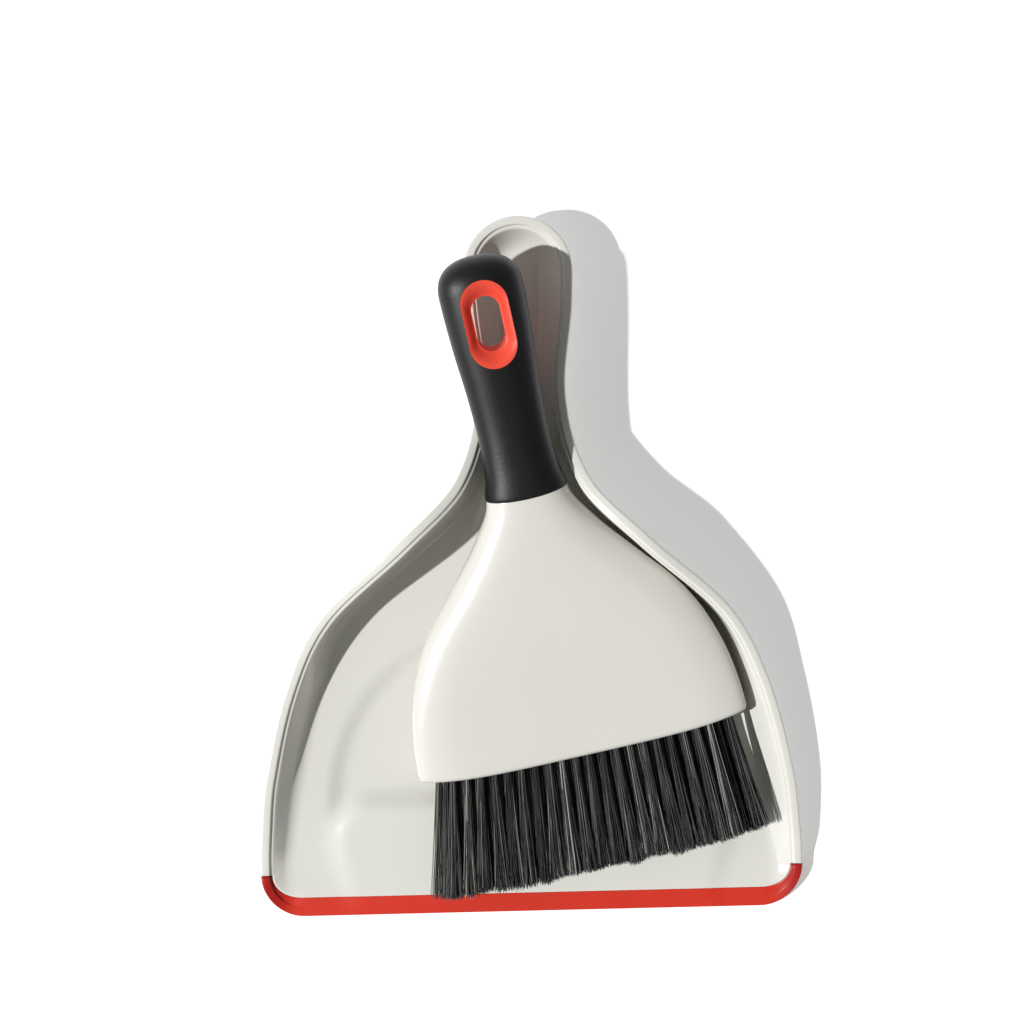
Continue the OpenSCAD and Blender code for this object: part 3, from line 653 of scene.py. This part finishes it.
def bristle_tree():
    """Filaments for one row of tufts, in the brush's own frame and in metres."""
    tree = bpy.data.node_groups.new("bristle row", "GeometryNodeTree")
    tree.interface.new_socket("Geometry", in_out="INPUT", socket_type="NodeSocketGeometry")
    for label in ("Tufts", "Filaments", "Seed"):
        tree.interface.new_socket(label, in_out="INPUT", socket_type="NodeSocketInt")
    for label in ("First X", "Pitch", "Row Z", "Rise", "Bend length", "Row half", "Root radius",
                  "Tip radius", "Length", "Bow", "Head half", "Thickness"):
        tree.interface.new_socket(label, in_out="INPUT", socket_type="NodeSocketFloat")
    tree.interface.new_socket("Geometry", in_out="OUTPUT", socket_type="NodeSocketGeometry")
    given = add(tree, "NodeGroupInput").outputs

    def sums(op, a, b=0.0, c=0.0):
        """The result of a sum, by its operation's name."""
        return add(tree, "ShaderNodeMath", {"operation": op}, {0: a, 1: b, 2: c}).outputs[0]

    def chance(low, high, key, step):
        """A random value for each key, with a seed of its own for each step."""
        seed = sums("ADD", given["Seed"], step)
        return add(tree, "FunctionNodeRandomValue", {"data_type": "FLOAT"},
                   {"Min": low, "Max": high, "ID": key, "Seed": seed}).outputs["Value"]

    count = sums("MULTIPLY", given["Tufts"], given["Filaments"])
    points = add(tree, "GeometryNodePoints", {}, {"Count": count}).outputs["Points"]
    index = add(tree, "GeometryNodeInputIndex").outputs[0]
    tuft = sums("FLOOR", sums("DIVIDE", index, given["Filaments"]))
    tuft_x = sums("MULTIPLY_ADD", tuft, given["Pitch"], given["First X"])

    # Root of a filament: evenly over the hole's disc
    turn = chance(0.0, 2 * math.pi, index, 1)
    out = sums("SQRT", chance(0.0, 1.0, index, 2))
    disc_x = sums("MULTIPLY", out, sums("COSINE", turn))
    disc_z = sums("MULTIPLY", out, sums("SINE", turn))
    share = sums("DIVIDE", tuft_x, given["Head half"])
    fall = sums("SUBTRACT", 1.0, sums("POWER", sums("ABSOLUTE", share), BOW_POWER))
    edge_y = sums("MULTIPLY", fall, given["Bow"])
    root = add(tree, "ShaderNodeCombineXYZ", {}, {
        "X": sums("MULTIPLY_ADD", disc_x, given["Root radius"], tuft_x),
        "Y": sums("SUBTRACT", ROOT_IN * MM, edge_y),
        "Z": sums("MULTIPLY_ADD", disc_z, given["Root radius"], given["Row Z"]),
    }).outputs[0]

    # Direction: the tuft's own lean, and the filament's place in the tuft's spread
    across = add(tree, "ShaderNodeMapRange", {"clamp": False}, {
        "Value": tuft_x, "From Min": sums("MULTIPLY", given["Row half"], -1.0), "From Max": given["Row half"],
        "To Min": math.radians(LEAN_LEFT), "To Max": math.radians(LEAN_RIGHT),
    }).outputs["Result"]
    lean = sums("ADD", across, chance(-TUFT_WANDER, TUFT_WANDER, tuft, 3))
    cut = sums("ADD", chance(SHORTEST_CUT, 1.0, index, 4), chance(TUFT_SHORTER, TUFT_LONGER, tuft, 5))
    long = sums("MULTIPLY", given["Length"], cut)
    spread = sums("DIVIDE", sums("SUBTRACT", given["Tip radius"], given["Root radius"]), given["Length"])
    stray_x = chance(-FILAMENT_WANDER, FILAMENT_WANDER, index, 6)
    stray_z = chance(-FILAMENT_WANDER, FILAMENT_WANDER, index, 7)
    slip_x = sums("MULTIPLY_ADD", disc_x, spread, stray_x)
    slip_z = sums("MULTIPLY_ADD", disc_z, spread, stray_z)
    heading = add(tree, "ShaderNodeCombineXYZ", {}, {
        "X": sums("ADD", sums("SINE", lean), slip_x),
        "Y": sums("MULTIPLY", sums("COSINE", lean), -1.0),
        "Z": slip_z,
    }).outputs[0]
    bend = add(tree, "ShaderNodeCombineXYZ", {}, {
        "X": chance(-SWAY_X * MM, SWAY_X * MM, index, 8),
        "Y": 0.0,
        "Z": chance(-SWAY_Z * MM, SWAY_Z * MM, index, 9),
    }).outputs[0]
    # Grey strands come in streaks: some of the chance is the tuft's and most is the filament's own.
    shade = sums("MULTIPLY_ADD", chance(0.0, 1.0, index, 10), 0.8, chance(0.0, 0.25, tuft, 11))

    points = add(tree, "GeometryNodeSetPosition", {}, {"Geometry": points, "Position": root}).outputs[0]
    points = add(tree, "GeometryNodeStoreNamedAttribute", {"data_type": "FLOAT_VECTOR", "domain": "POINT"},
                 {"Geometry": points, "Name": "bend", "Value": bend}).outputs[0]
    points = add(tree, "GeometryNodeStoreNamedAttribute", {"data_type": "FLOAT", "domain": "POINT"},
                 {"Geometry": points, "Name": "shade", "Value": shade}).outputs[0]
    # A filament is a line of unit length, turned to its heading and stretched to its cut length.
    line = add(tree, "GeometryNodeCurvePrimitiveLine", {}, {"Start": (0, 0, 0), "End": (0, 0, 1)}).outputs[0]
    line = add(tree, "GeometryNodeResampleCurve", {}, {"Curve": line, "Count": 6}).outputs[0]
    aim = add(tree, "FunctionNodeAlignRotationToVector", {"axis": "Z"}, {"Vector": heading}).outputs[0]
    size = add(tree, "ShaderNodeCombineXYZ", {}, {"X": 1.0, "Y": 1.0, "Z": long}).outputs[0]
    strands = add(tree, "GeometryNodeInstanceOnPoints", {},
                  {"Points": points, "Instance": line, "Rotation": aim, "Scale": size}).outputs[0]
    strands = add(tree, "GeometryNodeRealizeInstances", {}, {"Geometry": strands}).outputs[0]
    along = add(tree, "GeometryNodeSplineParameter").outputs["Factor"]
    sway = add(tree, "GeometryNodeInputNamedAttribute", {"data_type": "FLOAT_VECTOR"},
               {"Name": "bend"}).outputs[0]
    push = add(tree, "ShaderNodeVectorMath", {"operation": "SCALE"},
               {0: sway, "Scale": sums("MULTIPLY", along, along)}).outputs[0]
    # In front of its hole it bends up smoothly, by the angle that the brush is tipped.
    half_bend = sums("MULTIPLY", given["Bend length"], 0.5)
    past = sums("SUBTRACT", sums("MULTIPLY", along, given["Length"]), half_bend)
    reach = sums("SQRT", sums("MULTIPLY_ADD", past, past, sums("MULTIPLY", half_bend, half_bend)))
    run = sums("MULTIPLY", sums("ADD", past, reach), 0.5)
    level = sums("MULTIPLY", run, sums("TANGENT", given["Rise"]))
    up = add(tree, "ShaderNodeCombineXYZ", {}, {"X": 0.0, "Y": 0.0, "Z": level}).outputs[0]
    push = add(tree, "ShaderNodeVectorMath", {"operation": "ADD"}, {0: push, 1: up}).outputs[0]
    strands = add(tree, "GeometryNodeSetPosition", {}, {"Geometry": strands, "Offset": push}).outputs[0]
    girth = sums("MULTIPLY", given["Thickness"], sums("SUBTRACT", 1.0, sums("MULTIPLY", along, TIP_TAPER)))
    ring = add(tree, "GeometryNodeCurvePrimitiveCircle", {}, {"Resolution": 3, "Radius": 1.0}).outputs[0]
    tubes = add(tree, "GeometryNodeCurveToMesh", {},
                {"Curve": strands, "Profile Curve": ring, "Scale": girth, "Fill Caps": True}).outputs[0]
    whole = add(tree, "GeometryNodeRealizeInstances", {}, {"Geometry": tubes}).outputs[0]
    whole = add(tree, "GeometryNodeSetMaterial", {}, {"Geometry": whole, "Material": FILAMENT}).outputs[0]
    add(tree, "NodeGroupOutput", {}, {"Geometry": whole})
    return tree


BRISTLE_TREE = bristle_tree()


def made_by(tree, name, values):
    """The mesh that a node tree makes from its inputs, as a plain piece."""
    holder = bpy.data.objects.new(name, bpy.data.meshes.new(name))
    bpy.context.scene.collection.objects.link(holder)
    modifier = holder.modifiers.new(name, "NODES")
    modifier.node_group = tree
    for item in tree.interface.items_tree:
        if item.in_out == "INPUT" and item.name in values:
            modifier[item.identifier] = values[item.name]
    evaluated = holder.evaluated_get(bpy.context.evaluated_depsgraph_get())
    mesh = bpy.data.meshes.new_from_object(evaluated)
    holder.modifiers.clear()
    holder.data = mesh
    return holder


for row in range(1, ROW_COUNT + 1):
    # The outer rows go without their end tufts, as the head is rounded there.
    missing = 1 if row in (1, ROW_COUNT) else 0
    bristles = made_by(BRISTLE_TREE, f"bristles_row_{row}", {
        "Tufts": TUFTS - 2 * missing,
        "Filaments": FRONT_FILAMENTS if row == ROW_COUNT else FILAMENTS,
        "First X": (-ROW_HALF + TUFT_PITCH * (missing + (row % 2) / 2)) * MM,
        "Pitch": TUFT_PITCH * MM,
        "Row Z": (row - (ROW_COUNT + 1) / 2) * ROW_PITCH * MM,
        "Rise": math.radians(BRUSH_RISE),
        "Bend length": TUFT_BEND * MM,
        "Row half": ROW_HALF * MM,
        "Root radius": HOLE_R * MM,
        "Tip radius": SPREAD_R * MM,
        "Length": BRISTLE_LEN * MM,
        "Bow": edge_bow * MM,
        "Head half": head_w / 2 * MM,
        "Thickness": FILAMENT_R * MM,
        "Seed": 20 * row,
    })
    bristles.data.transform(IN_PAN)
    bristles.data.shade_smooth()
    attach(bristles, "brush")
    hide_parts(f"tuft_row_{row}")

# ---------------------------------------------------------------------------
# Grip. A thick black rubber sleeve over the tang, with a flared lower edge, a
# waist for the fingers and a broad round top with the hanging hole.
# ---------------------------------------------------------------------------

grip_len, grip_w, grip_t, grip_top_len = 102.1, 36.0, 26.0, 15.0
hole_len, hole_w, ring_band, ring_end_band = 23.5, 12.0, 4.0, 7.0
hole_y = head_len + 73.9
grip_straight = grip_len - grip_top_len
GRIP_W = [(0, 17.8), (9, 16), (25, 15), (45, 15.7), (65, 17.2), (grip_straight, grip_w / 2)]
GRIP_T = [(0, 12), (14, 11.3), (32, 11.3), (55, 12.2), (grip_straight, grip_t / 2)]
TOP_FULL = 2.4
# How far the middle of the lower edge sags over the head, how soon that fades, and the skin's inset
GRIP_SAG, SAG_LEN, GRIP_SKIN = 1.4, 12.0, 0.05


def grip_half_sizes(y):
    """Half the grip's width and half its depth at y above its lower edge."""
    if y <= grip_straight:
        return curve(GRIP_W, y), curve(GRIP_T, y)
    t = min(0.9995, (y - grip_straight) / grip_top_len)
    share = (1 - t ** TOP_FULL) ** (1 / TOP_FULL)
    return grip_w / 2 * share, grip_t / 2 * share


def stadium(length, width, steps):
    """Points round a slot with round ends, in step with those of any other slot."""
    straight = (length - width) / 2
    pts = []
    for side, start in ((1, -90), (-1, 90)):
        for i in range(steps):
            pts.append((side * width / 2, side * straight * (2 * i / steps - 1)))
        for i in range(2 * steps):
            a = math.radians(start + 90 + 180 * i / (2 * steps))
            pts.append((width / 2 * math.cos(a), side * straight + width / 2 * math.sin(a)))
    return pts


def build_grip():
    """The sleeve as rings of a rounded section, cut through for the hanging ring."""
    around, side_steps, top_steps, edge_y = 128, 70, 26, 0.5
    heights = [edge_y + (grip_straight - edge_y) * i / side_steps for i in range(side_steps + 1)]
    for i in range(1, top_steps + 1):
        heights.append(grip_straight + grip_top_len * math.sin(math.pi / 2 * i / top_steps))
    # The lower edge is rounded off in two small steps.
    rings = [(0.0, 0.9), (0.0, 0.35)] + [(y, GRIP_SKIN) for y in heights]
    points, faces = [], []
    for y, inset in rings:
        hw, ht = grip_half_sizes(y)
        for i in range(around):
            x, z = full_round(2 * math.pi * i / around, hw - inset, ht - inset, grip_full)
            sag = GRIP_SAG * (1 - (x / (grip_w / 2)) ** 2) * (1 - smooth(y / SAG_LEN))
            points.append(brush_point(x, head_len + y - sag, z))
    for r in range(len(rings) - 1):
        for i in range(around):
            e = (i + 1) % around
            faces.append((r * around + i, (r + 1) * around + i, (r + 1) * around + e, r * around + e))
    faces.append(tuple(range(around)))
    faces.append(tuple((len(rings) - 1) * around + i for i in reversed(range(around))))
    body = new_piece("grip_rubber", points, faces)
    slot = stadium(hole_len + 2 * ring_end_band, hole_w + 2 * ring_band, 12)
    depth = 20.0
    cutter_pts = [brush_point(x, hole_y + y, z) for z in (-depth, depth) for x, y in slot]
    n = len(slot)
    cutter_faces = [(i, (i + 1) % n, n + (i + 1) % n, n + i) for i in range(n)]
    cutter_faces += [tuple(range(n - 1, -1, -1)), tuple(range(n, 2 * n))]
    cutter = new_piece("hole_cutter", cutter_pts, cutter_faces)
    cut = body.modifiers.new("hole", "BOOLEAN")
    cut.operation, cut.solver, cut.object = "DIFFERENCE", "EXACT", cutter
    mesh = bpy.data.meshes.new_from_object(body.evaluated_get(bpy.context.evaluated_depsgraph_get()))
    body.modifiers.clear()
    body.data = mesh
    bpy.data.objects.remove(cutter)
    mesh.shade_smooth()
    mesh.set_sharp_from_angle(angle=math.radians(40))
    return body


# Black TPE with a fine mould grain that breaks up its sheen
BLACK_RUBBER = rubber("TPE satin black", "#060607", "#0A0A0B", 0.44, 0.5, 0.13)

grip = build_grip()
grip.data.materials.clear()
grip.data.materials.append(BLACK_RUBBER)
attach(grip, "brush")
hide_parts("grip_sleeve")

# ---------------------------------------------------------------------------
# Hanging ring. The same red rubber as the lip, moulded through the grip as an
# eyelet: a level outer edge that rolls over into the hole on both faces.
# ---------------------------------------------------------------------------

# How deep the edge rolls over, how far it lies under the grip's face, and the height of the hole's throat
RING_ROLL, RING_SUNK, RING_STEPS = 4.2, 0.07, 12
THROAT_Z = grip_t / 2 - RING_ROLL - 0.5


def grip_face(x, y):
    """Height of the grip's front face over the brush's middle plane."""
    hw, ht = grip_half_sizes(y)
    return ht * max(0.05, 1 - abs(x / hw) ** grip_full) ** (1 / grip_full)


def build_ring():
    """The eyelet: slots that shrink as they roll down into the hole, on the front and then on the back."""
    outer = stadium(hole_len + 2 * ring_end_band, hole_w + 2 * ring_band, 14)
    inner = stadium(hole_len, hole_w, 14)
    n = len(outer)
    profile = []
    for i in range(RING_STEPS + 1):
        u = math.sin(math.pi / 2 * i / RING_STEPS)
        profile.append((u, RING_ROLL * (1 - math.sqrt(max(0.0, 1 - u * u)))))
    points = []
    for face in (1, -1):
        for u, drop in (profile if face > 0 else profile[::-1]):
            for (ox, oy), (ix, iy) in zip(outer, inner):
                x, y = mix(ox, ix, u), mix(oy, iy, u)
                z = grip_face(ox, hole_y - head_len + oy) - RING_SUNK * (1 - u) - drop
                z = mix(z, THROAT_Z, u * u)
                points.append(brush_point(x, hole_y + y, face * z))
    rows = 2 * len(profile)
    faces = []
    for r in range(rows):
        for i in range(n):
            e, f = (i + 1) % n, (r + 1) % rows
            faces.append((r * n + i, r * n + e, f * n + e, f * n + i))
    return new_piece("ring_rubber", points, faces)


# Painted light: the same red rubber as the lip, given a lighter red on the ring
RING_RUBBER = rubber("TPE satin red painted lighter", "#E24C38", "#DC4430", 0.44, 0.8, 0.02)
ring = build_ring()
ring.data.materials.append(RING_RUBBER)
ring.data.set_sharp_from_angle(angle=math.radians(60))
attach(ring, "brush")
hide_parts("hang_ring")

# ---------------------------------------------------------------------------
# Studio. A sweep of white paper lit through from below, one hard light from the
# left and a soft white room with a dark ceiling, so that the gloss stays low.
# ---------------------------------------------------------------------------


def white_sweep():
    """Uncoated white paper, with faint fibres."""
    material = bpy.data.materials.new("paper sweep white")
    material.use_nodes = True
    tree = material.node_tree
    shader = tree.nodes["Principled BSDF"]
    place = add(tree, "ShaderNodeTexCoord").outputs["Object"]
    fibres = add(tree, "ShaderNodeTexNoise", {}, {"Vector": place, "Scale": 1 / (2.5 * MM), "Detail": 3.0})
    tint = add(tree, "ShaderNodeMix", {"data_type": "RGBA"},
               {"Factor": fibres.outputs["Fac"], "A": srgb("#EBEBEB"), "B": srgb("#E9E9E9")})
    tree.links.new(tint.outputs["Result"], shader.inputs["Base Color"])
    shader.inputs["Roughness"].default_value = 0.9
    shader.inputs["Specular IOR Level"].default_value = 0.1
    # The light from below keeps the shadow on the paper pale.
    shader.inputs["Emission Color"].default_value = srgb("#FFFFFF")
    shader.inputs["Emission Strength"].default_value = 0.33
    return material


FLOOR_HALF, FLOOR_Z = 4.0, -0.0003
corners = [(x * FLOOR_HALF, y * FLOOR_HALF, FLOOR_Z) for x, y in ((-1, -1), (1, -1), (1, 1), (-1, 1))]
floor = new_piece("floor", corners, [(0, 1, 2, 3)])
floor.data.materials.append(white_sweep())

world = bpy.data.worlds.new("soft room")
bpy.context.scene.world = world
world.use_nodes = True
sky = world.node_tree
back = sky.nodes["Background"]
heading = add(sky, "ShaderNodeTexCoord").outputs["Generated"]
toward = add(sky, "ShaderNodeSeparateXYZ", {}, {0: heading}).outputs
# The ceiling over the camera is dark, and the side that the key light comes from is the brighter one.
height = add(sky, "ShaderNodeMapRange", {"interpolation_type": "SMOOTHSTEP"},
             {"Value": toward["Z"], "From Min": 0.6, "From Max": 0.97, "To Min": 0.46, "To Max": 0.06})
side = add(sky, "ShaderNodeMapRange", {},
           {"Value": toward["X"], "From Min": -0.8, "From Max": 0.8, "To Min": 1.3, "To Max": 0.6})
strength = add(sky, "ShaderNodeMath", {"operation": "MULTIPLY"},
               {0: height.outputs["Result"], 1: side.outputs["Result"]})
sky.links.new(strength.outputs[0], back.inputs["Strength"])
back.inputs["Color"].default_value = (1.0, 1.0, 1.0, 1.0)

# The light comes from the left and a little from the lip's side.
SUN_ELEVATION, SUN_TURN = 50.0, 12.0
sun = bpy.data.lights.new("key", "SUN")
sun.energy = 3.55
sun.angle = math.radians(1.5)
key = bpy.data.objects.new("key", sun)
key.rotation_euler = (0, -math.radians(90 - SUN_ELEVATION), math.radians(SUN_TURN))
bpy.context.scene.collection.objects.link(key)

# The camera looks straight down, a little behind the pan's middle, and is turned a little. The field
# is the width, in metres, that it sees on the floor.
CAMERA_UP, CAMERA_AT, CAMERA_TURN = 1.45, (-0.0048, 0.0233), 1.37
FIELD = 0.4414
lens = bpy.data.cameras.new("camera")
lens.sensor_width = 36.0
lens.lens = lens.sensor_width * CAMERA_UP / FIELD
camera = bpy.data.objects.new("camera", lens)
camera.location = (*CAMERA_AT, CAMERA_UP)
camera.rotation_euler = (0, 0, -math.radians(CAMERA_TURN))
bpy.context.scene.collection.objects.link(camera)
bpy.context.scene.camera = camera
bpy.context.scene.view_settings.view_transform = "Standard"
